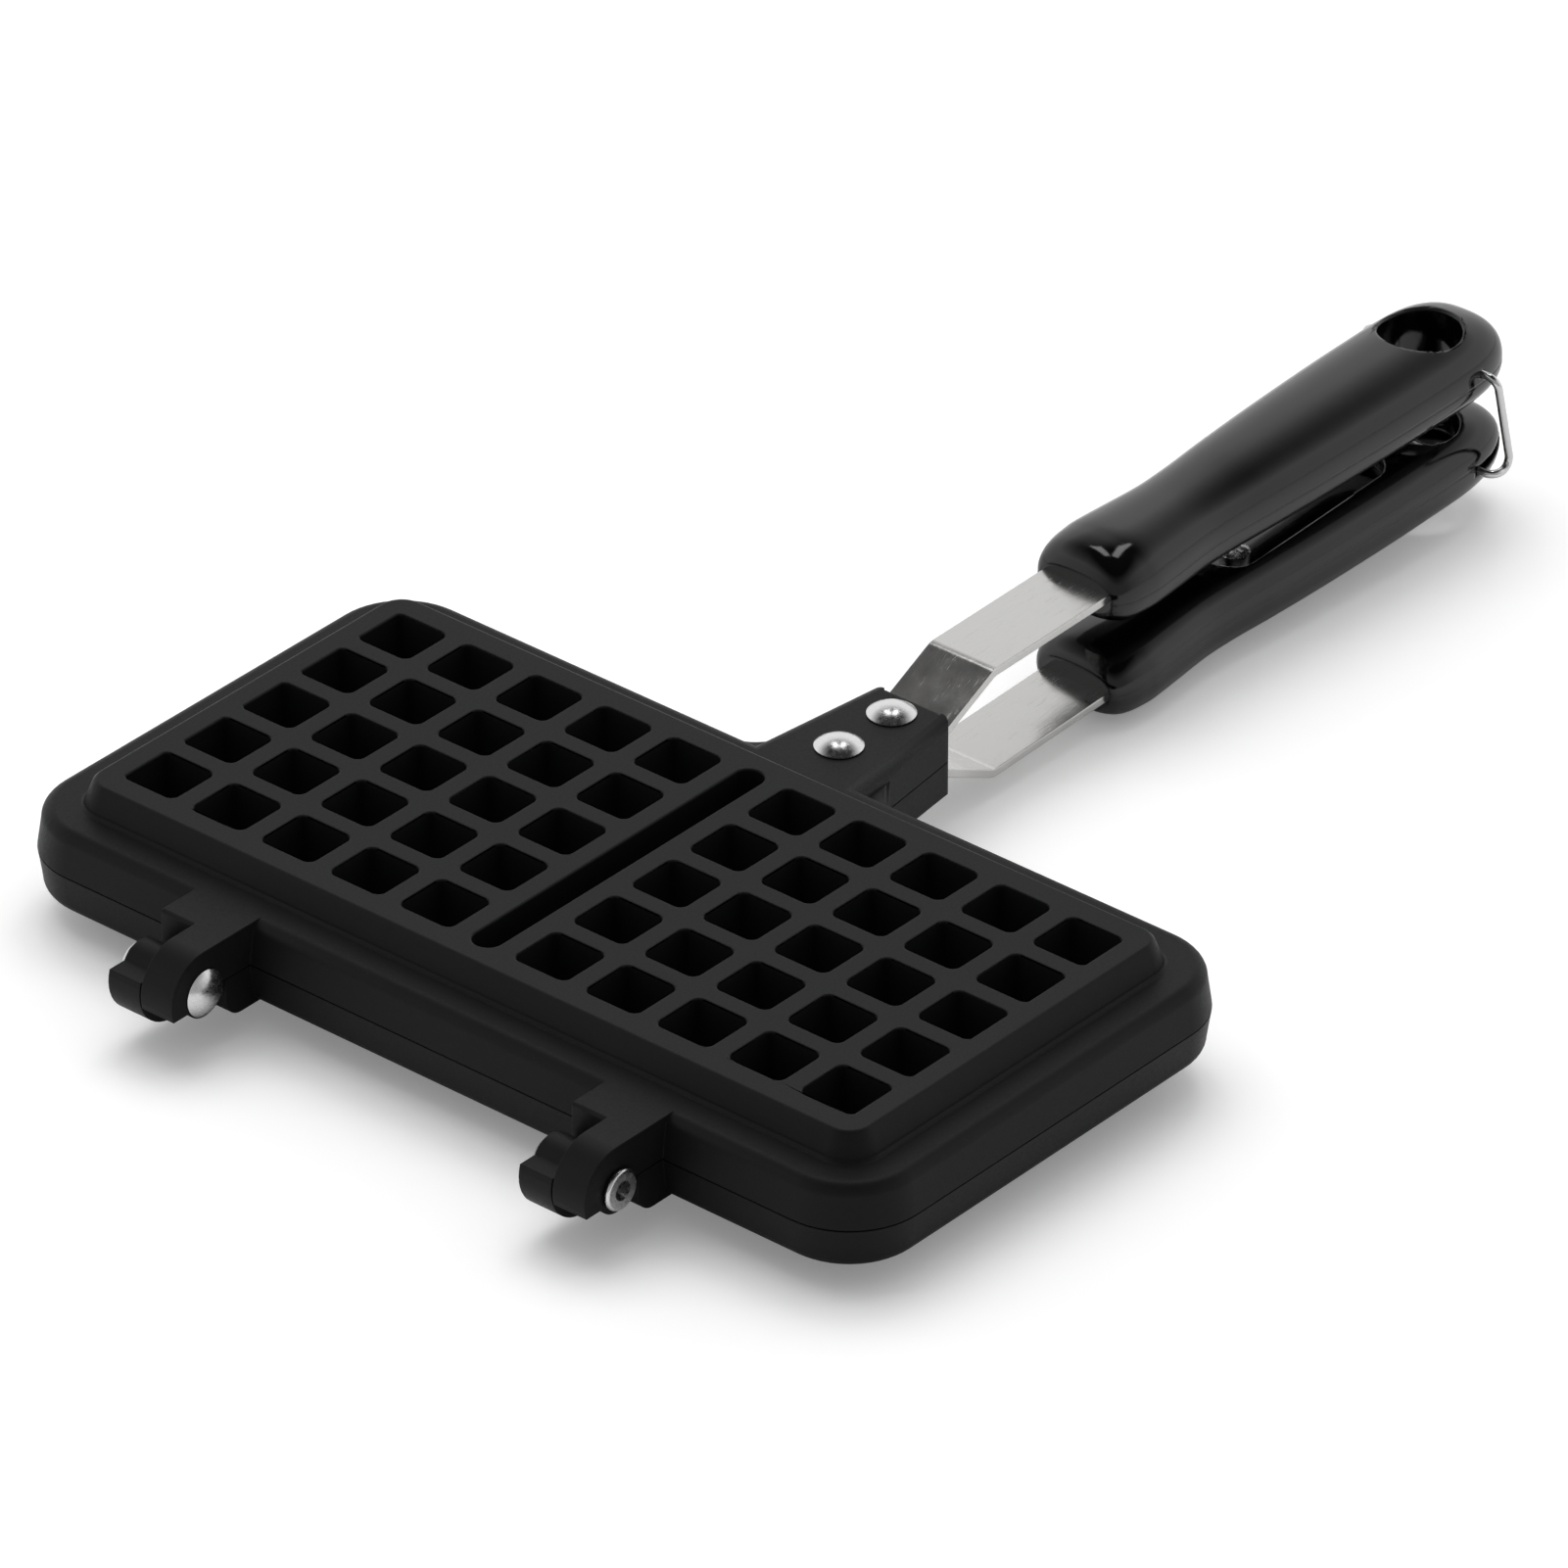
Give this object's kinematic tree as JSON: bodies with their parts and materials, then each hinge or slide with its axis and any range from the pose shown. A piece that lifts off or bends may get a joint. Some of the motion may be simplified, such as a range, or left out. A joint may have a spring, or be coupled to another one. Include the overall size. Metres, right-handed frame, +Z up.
{
  "type": "hinged waffle pan",
  "caption": "Hinged double-plate stovetop waffle pan with square-grid panels, cranked strap handles, moulded grips and a wire bail latch.",
  "frame": {"origin": "on the lower plate's flat resting face, on the long centre line, on the land between the divider recess and the panel's hinge-side edge", "axes": "+X from the hinges towards the grips, +Y to the left seen from the hinges, +Z up from the lower plate to the upper plate"},
  "size_m": [0.3827, 0.2378, 0.0457],
  "materials": {
    "coated_casting": "matte",
    "bright_aluminium": "bright",
    "strap_steel": "brushed",
    "black_phenolic": "gloss",
    "zinc_steel": "satin",
    "bright_wire": "bright"
  },
  "bodies": {
    "base": {"lower_plate": "coated_casting", "left_hinge_pin": "bright_aluminium", "right_hinge_pin": "bright_aluminium", "lower_strap": "strap_steel", "lower_front_rivet": "bright_aluminium", "lower_rear_rivet": "bright_aluminium", "lower_grip": "black_phenolic", "lower_grip_screw": "zinc_steel"},
    "lid": {"upper_plate": "coated_casting", "upper_strap": "strap_steel", "upper_front_rivet": "bright_aluminium", "upper_rear_rivet": "bright_aluminium", "upper_grip": "black_phenolic", "upper_grip_screw": "zinc_steel"},
    "bail": {"wire_bail": "bright_wire"}
  },
  "joints": [
    {"name": "lid_hinge", "type": "hinge", "parent": "base", "child": "lid", "pos_m": [-0.02902, 0, 0.0162], "axis": [0, -1, 0], "range_deg": [0, 112]},
    {"name": "bail_swing", "type": "hinge", "parent": "lid", "child": "bail", "pos_m": [0.32192, 0, 0.03321], "axis": [0, -1, 0], "range_deg": [0, 230]}
  ]
}
